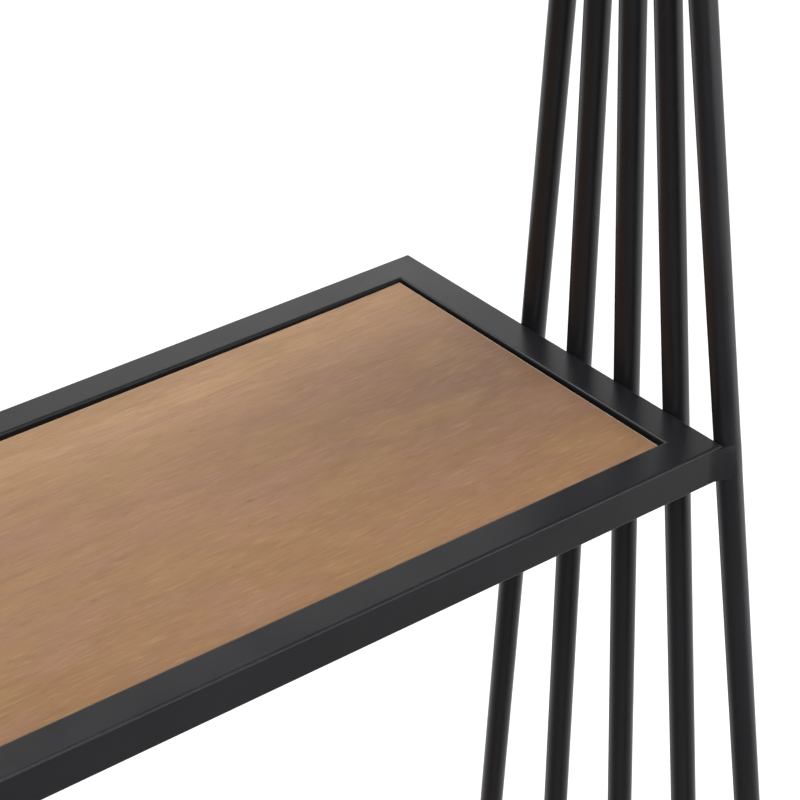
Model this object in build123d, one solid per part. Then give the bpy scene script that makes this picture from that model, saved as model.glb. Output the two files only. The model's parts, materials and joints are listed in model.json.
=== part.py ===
from build123d import *
import os

# Hall tree: two side frames of leaning round rods, an upper shelf with a row of
# coat hooks under its back edge, and a bench.  The origin is on the floor, under
# the middle of the frame.  X runs along the bench, -Y is the front, Z is up.

# ---- driving dimensions (mm) ----
FRAME_LENGTH = 800.0        # shelf and bench frames, outside
TUBE = 19.0                 # square tube, outside
TUBE_WALL = 1.5
TUBE_CORNER = 1.3           # outside corner radius of the square tube
TUBE_INNER_CORNER = 0.4
ROD_DIA = 12.7
ROD_WALL = 1.2
ROD_RANKS = [2, 1, 0, -1, -2]   # rear rod first, 0 is the upright one

SHELF_TOP = 1430.0          # top face of the upper shelf's frame
SHELF_DEPTH = 240.0
BENCH_TOP = 450.0
ROD_TOP = 1750.0            # rods meet the top rails here
ROD_PITCH = 35.0            # between rods at the shelf's top face
ROD_LEAN = 0.061            # change of pitch for each mm of height
FRONT_LEAD = 4.0            # frame's front face ahead of the front rod's centre

BASE_OVERHANG = 15.0        # base rail beyond its outer rods' centres
TOP_OVERHANG = 15.0

PANEL_GAP = 0.7             # round the wood panels
PANEL_RECESS = 1.2          # panel's face below the frame's top face
PANEL_THICK = 12.0
PANEL_EASE = 0.6            # chamfer on the panel's edges
CLEAT_WIDTH = 25.0
CLEAT_DEPTH = 20.0
CLEAT_THICK = 3.0
SHELF_CLEAT_XS = (-250.0, 0.0, 250.0)
BENCH_CLEAT_XS = (-260.0, 0.0, 260.0)
SUPPORT_BAR_WIDTH = 30.0
SUPPORT_BAR_THICK = 5.0
SUPPORT_BAR_X = 130.0

SCREW_R = 2.0               # wood screws under the panels
SCREW_BITE = 8.0            # length inside the panel
SCREW_HEAD_R = 4.2
SCREW_HEAD_HIGH = 2.2
SCREW_HEAD_CHAMFER = 0.9
SCREW_FROM_RAIL = 12.0      # screw's axis from the rail that carries its cleat
FIT = 0.05                  # radial clearance round a screw or a stud
CUT = 1.0                   # a cutter reaches this far beyond the faces it cuts

HOOK_COUNT = 5
HOOK_PITCH = 150.0
HOOK_BAR_LENGTH = 720.0
HOOK_BAR_HIGH = 60.0
HOOK_BAR_THICK = 4.0
HOOK_BAR_CHAMFER = 0.5
HOOK_BAR_Z = 1315.0         # middle of the hook bar
STRAP_WIDTH = 25.0
STRAP_X = 225.0             # between two hooks
HOOK_PLATE_WIDTH = 18.0
HOOK_PLATE_HIGH = 58.0
HOOK_PLATE_THICK = 3.0
HOOK_PLATE_CORNER = 6.0
HOOK_PLATE_CHAMFER = 0.6
HOOK_SCREW_Z = 23.0         # screws above and below the middle of a hook plate
HOOK_WIRE_R = 4.0
HOOK_BALL_R = 6.5
UPPER_PRONG_Z = 12.0        # above the middle of the plate
UPPER_BEND = (46.0, 4.0)    # forward of the plate, above the prong's start
UPPER_TIP = (64.0, 32.0)
UPPER_BEND_R = 16.0
LOWER_PRONG_DROP = 13.0
LOWER_BEND = (26.0, -5.0)
LOWER_TIP = (36.0, 8.0)
LOWER_BEND_R = 8.0
BOLT_R = 2.0                # machine screws of the hooks
BOLT_HEAD_R = 3.8
BOLT_HEAD_HIGH = 2.0
BOLT_HEAD_ROUND = 1.2
BOLT_SOCKET = 2.2           # across the flats of the hexagon socket
BOLT_SOCKET_DEEP = 1.2

TAB_X = 200.0               # wall anchor tabs
TAB_WIDTH = 25.0
TAB_DROP = 35.0
TAB_THICK = 3.0
TAB_CORNER = 5.0
TAB_HOLE_R = 3.0
TAB_HOLE_DROP = 20.0

PAD_R = 12.5
PAD_HIGH = 8.0
PAD_ROUND = 2.4
PAD_CHAMFER = 0.8
STUD_R = 4.0
STUD_CHAMFER = 0.8
STUD_HEX = 13.0             # across the flats of the stud's collar
STUD_HEX_HIGH = 4.0
STUD_IN_PAD = 5.0
INSERT_R = 6.0
INSERT_FLANGE_R = 8.0
INSERT_FLANGE_HIGH = 1.5
INSERT_LENGTH = 12.0        # above the flange
STUD_LENGTH = 18.0          # above the collar
FOOT_FROM_END = 22.0        # foot's centre from the end of its base rail
CAP_THICK = 2.0
CAP_CHAMFER = 0.5
CAP_PLUG = 9.0
CAP_PLUG_SLACK = 0.2
CAP_PLUG_CORNER = 1.0

# ---- derived places ----
ROD_R = ROD_DIA / 2
SIDE_X = FRAME_LENGTH / 2 + ROD_R               # plane of each side's rods
FOOT_Z = PAD_HIGH + STUD_HEX_HIGH               # underside of the insert's flange
BASE_Z = FOOT_Z + INSERT_FLANGE_HIGH            # underside of the base rails
ROD_FOOT = BASE_Z + TUBE
TUBE_BORE = TUBE - 2 * TUBE_WALL


def rod_pitch(z):
    return ROD_PITCH + (SHELF_TOP - z) * ROD_LEAN


SHELF_FRONT = -(2 * ROD_PITCH + FRONT_LEAD)
SHELF_BACK = SHELF_FRONT + SHELF_DEPTH
BENCH_FRONT = -(2 * rod_pitch(BENCH_TOP) + FRONT_LEAD)
BENCH_BACK = -BENCH_FRONT
BASE_HALF = 2 * rod_pitch(ROD_FOOT) + BASE_OVERHANG
TOP_HALF = 2 * rod_pitch(ROD_TOP) + TOP_OVERHANG
FOOT_Y = BASE_HALF - FOOT_FROM_END
STRAP_Y = SHELF_BACK - TUBE                     # front face of the straps
HOOK_BAR_Y = STRAP_Y - HOOK_BAR_THICK           # front face of the hook bar
HOOK_PLATE_Y = HOOK_BAR_Y - HOOK_PLATE_THICK    # front face of a hook plate

parts = {}


# ---- shared shapes ----
def block(x0, x1, y0, y1, z0, z1):
    centre = Pos((x0 + x1) / 2, (y0 + y1) / 2, (z0 + z1) / 2)
    return centre * Box(x1 - x0, y1 - y0, z1 - z0)


def rod_z(x, y, z, radius, height):
    return Pos(x, y, z + height / 2) * Cylinder(radius, height)


def rod_y(x, y, z, radius, length):
    return Pos(x, y + length / 2, z) * Rot(90, 0, 0) * Cylinder(radius, length)


def tube_section():
    outside = RectangleRounded(TUBE, TUBE, TUBE_CORNER)
    return outside - RectangleRounded(TUBE_BORE, TUBE_BORE, TUBE_INNER_CORNER)


def tube_x(x0, x1, y, z):
    """Square tube along X; y and z are the middle of its section."""
    return extrude(Plane.YZ.offset(x0) * Pos(y, z) * tube_section(), x1 - x0)


def tube_y(y0, y1, x, z):
    """Square tube along Y; x and z are the middle of its section."""
    return extrude(Plane.XZ.offset(-y0) * Pos(x, z) * tube_section(), -(y1 - y0))


def group(pieces):
    return Compound(list(pieces))


# ---- side frames: leaning rods between a base rail and a top rail ----
def leaning_rod(side, rank):
    """One rod; its pitch from the upright rod shrinks evenly with height."""
    middle = (ROD_FOOT + ROD_TOP) / 2
    axis = Plane(origin=(side * SIDE_X, rank * rod_pitch(middle), middle),
                 z_dir=(0, -rank * ROD_LEAN, 1))
    reach = ROD_TOP - ROD_FOOT
    tube = extrude(axis * (Circle(ROD_R) - Circle(ROD_R - ROD_WALL)), reach, both=True)
    slab = block(side * SIDE_X - TUBE, side * SIDE_X + TUBE,
                 -BASE_HALF, BASE_HALF, ROD_FOOT, ROD_TOP)
    return tube & slab


def base_rail(side):
    rail = tube_y(-BASE_HALF, BASE_HALF, side * SIDE_X, BASE_Z + TUBE / 2)
    for y in (-FOOT_Y, FOOT_Y):
        rail -= rod_z(side * SIDE_X, y, BASE_Z - CUT, INSERT_R + FIT, TUBE_WALL + 2 * CUT)
    return rail


def end_cap(side, end, half, z):
    """Plastic cap on the end of a base or top rail."""
    y_end = end * half
    plate = extrude(RectangleRounded(TUBE, TUBE, TUBE_CORNER), CAP_THICK)
    plate = chamfer(plate.faces().sort_by(Axis.Z)[-1].edges(), CAP_CHAMFER)
    plug_width = TUBE_BORE - CAP_PLUG_SLACK
    plug = extrude(RectangleRounded(plug_width, plug_width, CAP_PLUG_CORNER), -CAP_PLUG)
    return Pos(side * SIDE_X, y_end, z) * Rot(-end * 90, 0, 0) * (plate + plug)


for side, side_name in ((1, "right"), (-1, "left")):
    for number, rank in enumerate(ROD_RANKS, start=1):
        parts[f"{side_name}_rod_{number}"] = leaning_rod(side, rank)
    parts[f"{side_name}_base_rail"] = base_rail(side)
    parts[f"{side_name}_top_rail"] = tube_y(
        -TOP_HALF, TOP_HALF, side * SIDE_X, ROD_TOP + TUBE / 2)

parts["rail_end_caps"] = group(
    end_cap(side, end, half, z)
    for side in (1, -1) for end in (1, -1)
    for half, z in ((BASE_HALF, BASE_Z + TUBE / 2), (TOP_HALF, ROD_TOP + TUBE / 2)))

crossbar_end = SIDE_X - TUBE / 2
parts["top_crossbar"] = tube_x(-crossbar_end, crossbar_end, 0, ROD_TOP + TUBE / 2)


# ---- shelf and bench frames: four square tubes, mitred at the corners ----
def mitred_frame(name, y_front, y_back, z_top):
    half = FRAME_LENGTH / 2
    inner = half - TUBE
    z = z_top - TUBE / 2
    corners = {
        "front": [(-half, y_front), (half, y_front),
                  (inner, y_front + TUBE), (-inner, y_front + TUBE)],
        "back": [(-half, y_back), (half, y_back),
                 (inner, y_back - TUBE), (-inner, y_back - TUBE)],
        "right": [(half, y_front), (half, y_back),
                  (inner, y_back - TUBE), (inner, y_front + TUBE)],
        "left": [(-half, y_front), (-half, y_back),
                 (-inner, y_back - TUBE), (-inner, y_front + TUBE)],
    }
    whole = {
        "front": tube_x(-half, half, y_front + TUBE / 2, z),
        "back": tube_x(-half, half, y_back - TUBE / 2, z),
        "right": tube_y(y_front, y_back, half - TUBE / 2, z),
        "left": tube_y(y_front, y_back, -half + TUBE / 2, z),
    }
    for place, outline in corners.items():
        wedge = make_face(Polyline(*outline, close=True))
        wedge = extrude(Pos(0, 0, z_top - TUBE - CUT) * wedge, TUBE + 2 * CUT)
        parts[f"{name}_{place}_rail"] = whole[place] & wedge


def cleat_places(y_front, y_back, xs):
    """Middle of each cleat, with the direction from its rail to the panel."""
    places = [(x, y_front + TUBE, 0, 1) for x in xs]
    places += [(x, y_back - TUBE, 0, -1) for x in xs]
    side = FRAME_LENGTH / 2 - TUBE
    middle = (y_front + y_back) / 2
    places += [(side, middle, -1, 0), (-side, middle, 1, 0)]
    return places


def screw_axis(place):
    x, y, toward_x, toward_y = place
    return x + toward_x * SCREW_FROM_RAIL, y + toward_y * SCREW_FROM_RAIL


def cleat(place, z_top):
    x, y, toward_x, toward_y = place
    across_x = CLEAT_WIDTH / 2 if toward_x == 0 else 0
    across_y = CLEAT_WIDTH / 2 if toward_y == 0 else 0
    far_x = x + toward_x * CLEAT_DEPTH
    far_y = y + toward_y * CLEAT_DEPTH
    tab = block(min(x, far_x) - across_x, max(x, far_x) + across_x,
                min(y, far_y) - across_y, max(y, far_y) + across_y,
                z_top - CLEAT_THICK, z_top)
    hole_x, hole_y = screw_axis(place)
    z_low = z_top - CLEAT_THICK - CUT
    return tab - rod_z(hole_x, hole_y, z_low, SCREW_R + FIT, CLEAT_THICK + 2 * CUT)


def panel_screw(place, z_top):
    x, y = screw_axis(place)
    z_head = z_top - CLEAT_THICK - SCREW_HEAD_HIGH
    head = rod_z(x, y, z_head, SCREW_HEAD_R, SCREW_HEAD_HIGH)
    head = chamfer(head.faces().sort_by(Axis.Z)[0].edges(), SCREW_HEAD_CHAMFER)
    shank = rod_z(x, y, z_head, SCREW_R, SCREW_HEAD_HIGH + CLEAT_THICK + SCREW_BITE)
    return head + shank


def wood_panel(y_front, y_back, z_top, places):
    edge = TUBE + PANEL_GAP
    x_half = FRAME_LENGTH / 2 - edge
    z_face = z_top - PANEL_RECESS
    panel = block(-x_half, x_half, y_front + edge, y_back - edge, z_face - PANEL_THICK, z_face)
    panel = chamfer(panel.edges(), PANEL_EASE)
    for place in places:
        x, y = screw_axis(place)
        panel -= rod_z(x, y, z_face - PANEL_THICK - CUT, SCREW_R + FIT, SCREW_BITE + 2 * CUT)
    return panel


def panelled_frame(name, y_front, y_back, z_top, cleat_xs):
    mitred_frame(name, y_front, y_back, z_top)
    places = cleat_places(y_front, y_back, cleat_xs)
    z_seat = z_top - PANEL_RECESS - PANEL_THICK
    parts[f"{name}_panel"] = wood_panel(y_front, y_back, z_top, places)
    parts[f"{name}_panel_cleats"] = group(cleat(place, z_seat) for place in places)
    parts[f"{name}_panel_screws"] = group(panel_screw(place, z_seat) for place in places)


panelled_frame("shelf", SHELF_FRONT, SHELF_BACK, SHELF_TOP, SHELF_CLEAT_XS)
panelled_frame("bench", BENCH_FRONT, BENCH_BACK, BENCH_TOP, BENCH_CLEAT_XS)

bar_top = BENCH_TOP - PANEL_RECESS - PANEL_THICK
for side, side_name in ((1, "right"), (-1, "left")):
    x = side * SUPPORT_BAR_X
    parts[f"bench_support_bar_{side_name}"] = block(
        x - SUPPORT_BAR_WIDTH / 2, x + SUPPORT_BAR_WIDTH / 2,
        BENCH_FRONT + TUBE, BENCH_BACK - TUBE,
        bar_top - SUPPORT_BAR_THICK, bar_top)

# ---- hook bar on straps under the shelf's back rail, and the wall anchor tabs ----
shelf_under = SHELF_TOP - TUBE
bar_low = HOOK_BAR_Z - HOOK_BAR_HIGH / 2
bar_high = HOOK_BAR_Z + HOOK_BAR_HIGH / 2
hook_xs = [HOOK_PITCH * (i - (HOOK_COUNT - 1) / 2) for i in range(HOOK_COUNT)]
bolt_places = [(x, HOOK_BAR_Z + dz) for x in hook_xs for dz in (HOOK_SCREW_Z, -HOOK_SCREW_Z)]

parts["hook_bar_straps"] = group(
    block(x - STRAP_WIDTH / 2, x + STRAP_WIDTH / 2,
          STRAP_Y, STRAP_Y + HOOK_BAR_THICK, bar_low, shelf_under)
    for x in (-STRAP_X, STRAP_X))

hook_bar = block(-HOOK_BAR_LENGTH / 2, HOOK_BAR_LENGTH / 2, HOOK_BAR_Y, STRAP_Y, bar_low, bar_high)
hook_bar = chamfer(hook_bar.edges(), HOOK_BAR_CHAMFER)
for x, z in bolt_places:
    hook_bar -= rod_y(x, HOOK_BAR_Y - CUT, z, BOLT_R + FIT, HOOK_BAR_THICK + 2 * CUT)
parts["hook_bar"] = hook_bar


def prong(z, bend_out, bend_rise, tip_out, tip_rise, radius):
    """Round bar that leaves the plate forward, bends up and ends in a ball."""
    y = HOOK_PLATE_Y
    path = FilletPolyline((0, y, z), (0, y - bend_out, z + bend_rise),
                          (0, y - tip_out, z + tip_rise), radius=radius)
    wire = sweep(Plane(origin=path @ 0, z_dir=path % 0) * Circle(HOOK_WIRE_R), path=path)
    return wire + Pos(0, y - tip_out, z + tip_rise) * Sphere(HOOK_BALL_R)


def coat_hook():
    plate = block(-HOOK_PLATE_WIDTH / 2, HOOK_PLATE_WIDTH / 2, HOOK_PLATE_Y, HOOK_BAR_Y,
                  HOOK_BAR_Z - HOOK_PLATE_HIGH / 2, HOOK_BAR_Z + HOOK_PLATE_HIGH / 2)
    plate = fillet(plate.edges().filter_by(Axis.Y), HOOK_PLATE_CORNER)
    plate = chamfer(plate.faces().sort_by(Axis.Y)[0].edges(), HOOK_PLATE_CHAMFER)
    for dz in (HOOK_SCREW_Z, -HOOK_SCREW_Z):
        plate -= rod_y(0, HOOK_PLATE_Y - CUT, HOOK_BAR_Z + dz,
                       BOLT_R + FIT, HOOK_PLATE_THICK + 2 * CUT)
    upper = prong(HOOK_BAR_Z + UPPER_PRONG_Z, *UPPER_BEND, *UPPER_TIP, UPPER_BEND_R)
    lower = prong(HOOK_BAR_Z - LOWER_PRONG_DROP, *LOWER_BEND, *LOWER_TIP, LOWER_BEND_R)
    return plate + upper + lower


hook_shape = coat_hook()
for number, x in enumerate(hook_xs, start=1):
    parts[f"coat_hook_{number}"] = Pos(x, 0, 0) * hook_shape


def hook_screw(x, z):
    """Button-head machine screw, flush with the back of the hook bar."""
    front = HOOK_PLATE_Y - BOLT_HEAD_HIGH
    head = rod_y(x, front, z, BOLT_HEAD_R, BOLT_HEAD_HIGH)
    head = fillet(head.faces().sort_by(Axis.Y)[0].edges(), BOLT_HEAD_ROUND)
    socket = Plane.XZ.offset(-front - BOLT_SOCKET_DEEP) * Pos(x, z) * RegularPolygon(
        BOLT_SOCKET / 2, 6, major_radius=False)
    head -= extrude(socket, BOLT_SOCKET_DEEP + CUT)
    return head + rod_y(x, HOOK_PLATE_Y, z, BOLT_R, HOOK_PLATE_THICK + HOOK_BAR_THICK)


parts["hook_screws"] = group(hook_screw(x, z) for x, z in bolt_places)


def anchor_tab(x):
    tab = block(x - TAB_WIDTH / 2, x + TAB_WIDTH / 2,
                SHELF_BACK - TAB_THICK, SHELF_BACK, shelf_under - TAB_DROP, shelf_under)
    tab = chamfer(tab.edges().filter_by(Axis.Y).group_by(Axis.Z)[0], TAB_CORNER)
    return tab - rod_y(x, SHELF_BACK - TAB_THICK - CUT, shelf_under - TAB_HOLE_DROP,
                       TAB_HOLE_R, TAB_THICK + 2 * CUT)


parts["wall_anchor_tabs"] = group(anchor_tab(x) for x in (-TAB_X, TAB_X))


# ---- levelling feet: a pad on a threaded stud, in an insert in the base rail ----
def foot_insert(x, y):
    flange = rod_z(x, y, FOOT_Z, INSERT_FLANGE_R, INSERT_FLANGE_HIGH)
    barrel = rod_z(x, y, BASE_Z, INSERT_R, INSERT_LENGTH)
    bore_length = INSERT_FLANGE_HIGH + INSERT_LENGTH + 2 * CUT
    bore = rod_z(x, y, FOOT_Z - CUT, STUD_R + FIT, bore_length)
    return flange + barrel - bore


def foot_pad(x, y):
    pad = rod_z(x, y, 0, PAD_R, PAD_HIGH)
    pad = fillet(pad.faces().sort_by(Axis.Z)[-1].edges(), PAD_ROUND)
    pad = chamfer(pad.faces().sort_by(Axis.Z)[0].edges(), PAD_CHAMFER)
    return pad - rod_z(x, y, PAD_HIGH - STUD_IN_PAD, STUD_R, STUD_IN_PAD + CUT)


def foot_stud(x, y):
    collar = extrude(Pos(x, y, PAD_HIGH) * RegularPolygon(STUD_HEX / 2, 6, major_radius=False),
                     STUD_HEX_HIGH)
    tail = rod_z(x, y, PAD_HIGH - STUD_IN_PAD, STUD_R, STUD_IN_PAD + STUD_HEX_HIGH + STUD_LENGTH)
    return collar + chamfer(tail.faces().sort_by(Axis.Z)[-1].edges(), STUD_CHAMFER)


foot_places = {
    "front_left": (-SIDE_X, -FOOT_Y),
    "front_right": (SIDE_X, -FOOT_Y),
    "rear_left": (-SIDE_X, FOOT_Y),
    "rear_right": (SIDE_X, FOOT_Y),
}
for place, (x, y) in foot_places.items():
    parts[f"foot_pad_{place}"] = foot_pad(x, y)
    parts[f"foot_stud_{place}"] = foot_stud(x, y)
parts["foot_inserts"] = group(foot_insert(x, y) for x, y in foot_places.values())

# ---- one STEP file for each node ----
os.makedirs("parts", exist_ok=True)
for node, shape in parts.items():
    export_step(shape, f"parts/{node}.step")
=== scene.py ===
import json
import math
import random

import bpy
from mathutils import Matrix, Vector


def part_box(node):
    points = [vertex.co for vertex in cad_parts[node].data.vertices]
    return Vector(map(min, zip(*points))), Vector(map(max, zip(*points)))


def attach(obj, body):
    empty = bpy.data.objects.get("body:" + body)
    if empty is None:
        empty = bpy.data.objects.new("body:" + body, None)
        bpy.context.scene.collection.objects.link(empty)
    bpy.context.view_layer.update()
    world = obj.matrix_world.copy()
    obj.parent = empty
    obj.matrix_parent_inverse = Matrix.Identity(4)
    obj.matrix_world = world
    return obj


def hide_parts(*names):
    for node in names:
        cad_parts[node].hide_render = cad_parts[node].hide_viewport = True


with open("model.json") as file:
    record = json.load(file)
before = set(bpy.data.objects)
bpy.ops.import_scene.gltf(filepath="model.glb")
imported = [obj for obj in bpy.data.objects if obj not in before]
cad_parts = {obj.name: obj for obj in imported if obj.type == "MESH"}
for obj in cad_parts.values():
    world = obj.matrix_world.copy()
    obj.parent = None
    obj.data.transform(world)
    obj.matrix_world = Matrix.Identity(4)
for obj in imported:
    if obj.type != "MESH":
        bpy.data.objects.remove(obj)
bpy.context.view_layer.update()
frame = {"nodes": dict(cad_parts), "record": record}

# Looks of the hall tree.  Lengths are metres.  The CAD tubes, rods, plates, hooks, caps and inserts keep
# their meshes and get materials.  The boards, screws, levelling feet and weld beads are made here.

RNG = random.Random(7)
MM = 0.001
UP = Vector((0, 0, 1))
DOWN = Vector((0, 0, -1))
FORWARD = Vector((0, -1, 0))

ROD_NODES = [f"{side}_rod_{number}" for side in ("right", "left") for number in range(1, 6)]
REAR_ROD, MIDDLE_ROD, FRONT_ROD = 1, 3, 5
FRAMES = ("shelf", "bench")
FEET = ("front_left", "front_right", "rear_left", "rear_right")
HOOK_NODES = [f"coat_hook_{number}" for number in range(1, 6)]
PRONG_RADIUS = 4.0 * MM
PRONG_RISES = (16 * MM, 41 * MM)  # prongs' middles above the foot of a hook's plate

# ---- weld beads ----
GROOVE_BALL = 0.65 * MM           # hollow of a weld beside a rod, before its ripple
GROOVE_INSET = 1.2 * MM           # stops short of the rail's top and underside
GROOVE_END_INSET = 1.5 * MM       # and of the rail's ends
ROD_FOOT_LEG = 1.25 * MM
ROD_HEAD_LEG = 1.0 * MM
STRAP_LEG = 2.2 * MM
CLEAT_LEG = 1.8 * MM              # cleats and support bars
CROSSBAR_LEG = 2.0 * MM
PRONG_LEG = 1.5 * MM
WELD_ROOT = 0.3 * MM              # a bead round a rod starts this far inside it
BEAD_INSET = 1.0 * MM             # a straight bead stops short of its plate's ends
CROSSBAR_INSET = 2.0 * MM
BEAD_END = 0.55                   # share of its size that a straight bead keeps at its ends
# Hollow sections of the beads, as shares of their legs along the two faces they join.
RING_SECTION = ((1.0, 0.0), (0.42, 0.18), (0.16, 0.45), (0.0, 1.0))
STRAIGHT_SECTION = ((0, 0), (1, 0), (0.45, 0.15), (0.15, 0.45), (0, 1))

# ---- weld at a frame's corner, dressed smooth round the outermost rod ----
CORNER_INSET = 1.1 * MM           # inside the rail's rounded edges
CORNER_LIP = 3.0 * MM             # its far end rises this much up the rod
CORNER_LIP_SPAN = (0.25, 0.70)    # shares of its way between which it rises
CORNER_SKIN = 0.45 * MM           # over the rail's end face
CORNER_THINNING = 0.75            # share of the skin lost by its far end
CORNER_ROOT = 1.6 * MM            # inner side, inside the rod
CORNER_START = 8.5 * MM           # in from the rail's outer face
CORNER_STRAIGHT = 0.45            # share of its way before it meets the rod
CORNER_MEET = math.radians(99)    # round the rod, from straight out to the side
CORNER_END = math.radians(38)
CORNER_FADE = 1.5                 # rings of its upright section over which the skin comes up

# ---- screws ----
DOME_STEPS = 6                    # rings from a head's upright side to its flat top
HEAD_HIGH = 2.0 * MM              # head of a hook screw, proud of the hook's plate
HEAD_SIDE = 0.7 * MM              # height of its upright side, below its dome
HEAD_FLAT = 1.75 * MM             # radius of its flat top
BOLT_RADIUS = 2.0 * MM
SOCKET_HALF = 1.1 * MM            # half across the flats
SOCKET_BEVEL = 0.12 * MM
SOCKET_DEEP = 1.2 * MM
PAN_HIGH = 2.2 * MM               # head of a wood screw
PAN_SIDE = 1.0 * MM               # height of its upright side
PAN_FLAT = 2.7 * MM
WOOD_PITCH = 0.9 * MM             # its thread, from crest to crest
WOOD_CREST = 2.0 * MM             # radius
WOOD_ROOT = 1.4 * MM
WOOD_POINT = 2.5 * MM             # length of its point
CROSS_MOUTH = (2.3 * MM, 0.75 * MM)   # cross recess at its mouth: arms, then the core between them
CROSS_FLOOR = (1.3 * MM, 0.6 * MM)
CROSS_DEEP = 1.3 * MM
CROSS_SPREAD = 0.24               # radians, half an arm

# ---- levelling feet ----
STUD_RADIUS = 4.0 * MM
STUD_PITCH = 1.25 * MM
STUD_THREAD = 0.65 * MM           # depth of the thread
STEPS_A_TURN = 8                  # rings of the mesh for each turn of the thread
COLLAR_HIGH = 4.0 * MM
FLUTE_DEEP = 0.55 * MM
FLUTES = 24
PAD_DOME = 2.2 * MM               # radius of the pad's shoulder

# ---- boards ----
BOARD_EASE = 0.6 * MM
BOARD_CUTS = (60, 18)             # steps along and across
HOLLOW_POWER = 0.6                # how squarely the hollow back edge meets the board's ends

# Colours of the wood; its ground runs from the front edge (0) to the back edge (1).
# Its paling towards the back is partly the wood's tone and partly a painted sheen of the back light.
WOOD_TONE_AND_SHEEN = ((0.0, (0.214, 0.114, 0.049)), (0.25, (0.235, 0.128, 0.056)),
               (0.55, (0.288, 0.163, 0.085)), (0.76, (0.330, 0.193, 0.104)),
               (0.88, (0.472, 0.286, 0.152)), (1.0, (0.468, 0.284, 0.153)))
FAR_END = (0.172, 0.090, 0.022)
BAND = (0.205, 0.113, 0.062)
BLUSH = (0.245, 0.135, 0.084)
# Painted shadow of the rods near the board's right end.
ROD_SHADOW_TONE = (0.136, 0.076, 0.052)
MOTTLE = (0.160, 0.088, 0.050)
ROSE = (0.255, 0.143, 0.104)
OCHRE = (0.262, 0.163, 0.076)
FIBRE = (0.150, 0.080, 0.045)
STREAK = (0.145, 0.072, 0.038)
FLECK = (0.47, 0.30, 0.17)
PORE = (0.07, 0.036, 0.02)
END_GRAIN = (0.11, 0.06, 0.034)
# Painted highlight along the board's eased edges.
EASED_EDGE_HIGHLIGHT = (0.52, 0.40, 0.29)

# ---- floor and lights ----
FLOOR_HALF = 14.0
FLOOR_TONES = ((0.3, (0.26, 0.26, 0.26)), (0.7, (0.28, 0.28, 0.28)))
WHITE = (1.0, 1.0, 1.0, 1.0)
FILL = 0.22                       # strength of the world's light
# name, place, target, width, height and watts
LIGHTS = (
    ("key", (-0.5, -2.0, 4.0), (0.1, 0, 1.2), 2.6, 2.2, 150),
    ("top_back", (-0.4, 1.8, 4.4), (0, 0, 1.3), 2.6, 2.2, 60),
    ("back_right", (2.3, 3.4, 2.9), (0, 0, 1.35), 2.4, 1.0, 17),
    ("front_strip", (1.5, -2.6, 1.45), (0.2, 0, 1.4), 3.0, 0.4, 25),
    ("low_right", (2.3, -1.6, 0.15), (0.3, 0, 1.3), 1.8, 1.8, 10),
    ("front_left", (-2.6, -2.8, 2.2), (0.3, 0, 1.3), 1.6, 1.6, 14),
)

# ---- camera ----
CAMERA_AWAY = Vector((-0.6967, -0.7207, 0.6396))  # from the shelf's front right corner
CAMERA_AZIMUTH = math.radians(35.61)
CAMERA_ELEVATION = math.radians(31.56)
CAMERA_ROLL = math.radians(-2.12)
CAMERA_SENSOR = 36.0              # mm, as is the lens
CAMERA_LENS = 116.06


# ---------------------------------------------------------------- node helpers
def new_material(name):
    material = bpy.data.materials.new(name)
    material.use_nodes = True
    tree = material.node_tree
    tree.nodes.clear()
    out = tree.nodes.new("ShaderNodeOutputMaterial")
    shader = tree.nodes.new("ShaderNodeBsdfPrincipled")
    tree.links.new(shader.outputs["BSDF"], out.inputs["Surface"])
    return material, tree, shader


def noise(tree, scale, detail=3.0, roughness=0.5, size=1.0, distortion=0.0):
    """Noise over the object's own coordinates, with a scale for each axis."""
    coords = tree.nodes.new("ShaderNodeTexCoord")
    mapping = tree.nodes.new("ShaderNodeMapping")
    mapping.inputs["Scale"].default_value = scale
    tree.links.new(coords.outputs["Object"], mapping.inputs["Vector"])
    node = tree.nodes.new("ShaderNodeTexNoise")
    node.inputs["Scale"].default_value = size
    node.inputs["Detail"].default_value = detail
    node.inputs["Roughness"].default_value = roughness
    node.inputs["Distortion"].default_value = distortion
    tree.links.new(mapping.outputs["Vector"], node.inputs["Vector"])
    return node.outputs["Fac"]


def even_noise(tree, scale, **settings):
    """Noise with the same scale along all three axes."""
    return noise(tree, (scale, scale, scale), **settings)


def remap(tree, value, low, high, to_low, to_high):
    node = tree.nodes.new("ShaderNodeMapRange")
    node.inputs["From Min"].default_value = low
    node.inputs["From Max"].default_value = high
    node.inputs["To Min"].default_value = to_low
    node.inputs["To Max"].default_value = to_high
    tree.links.new(value, node.inputs["Value"])
    return node.outputs["Result"]


def ramp(tree, value, stops):
    node = tree.nodes.new("ShaderNodeValToRGB")
    elements = node.color_ramp.elements
    while len(elements) < len(stops):
        elements.new(0.5)
    for element, (place, colour) in zip(elements, stops):
        element.position = place
        element.color = (*colour, 1.0)
    tree.links.new(value, node.inputs["Fac"])
    return node.outputs["Color"]


def mix(tree, factor, a, b):
    """Mixes two colours; a, b and factor are sockets or plain values."""
    node = tree.nodes.new("ShaderNodeMix")
    node.data_type = "RGBA"
    node.blend_type = "MIX"
    for socket, value in ((node.inputs[0], factor), (node.inputs[6], a), (node.inputs[7], b)):
        if isinstance(value, bpy.types.NodeSocket):
            tree.links.new(value, socket)
        elif isinstance(value, tuple):
            socket.default_value = (*value, 1.0)
        else:
            socket.default_value = value
    return node.outputs[2]


def layer(tree, base, colour, field, span, cover):
    """Lays a colour over the base; its cover changes evenly while the field crosses the span."""
    return mix(tree, remap(tree, field, *span, *cover), base, colour)


def math_node(tree, operation, a, b):
    node = tree.nodes.new("ShaderNodeMath")
    node.operation = operation
    for socket, value in ((node.inputs[0], a), (node.inputs[1], b)):
        if isinstance(value, bpy.types.NodeSocket):
            tree.links.new(value, socket)
        else:
            socket.default_value = value
    return node.outputs[0]


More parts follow.
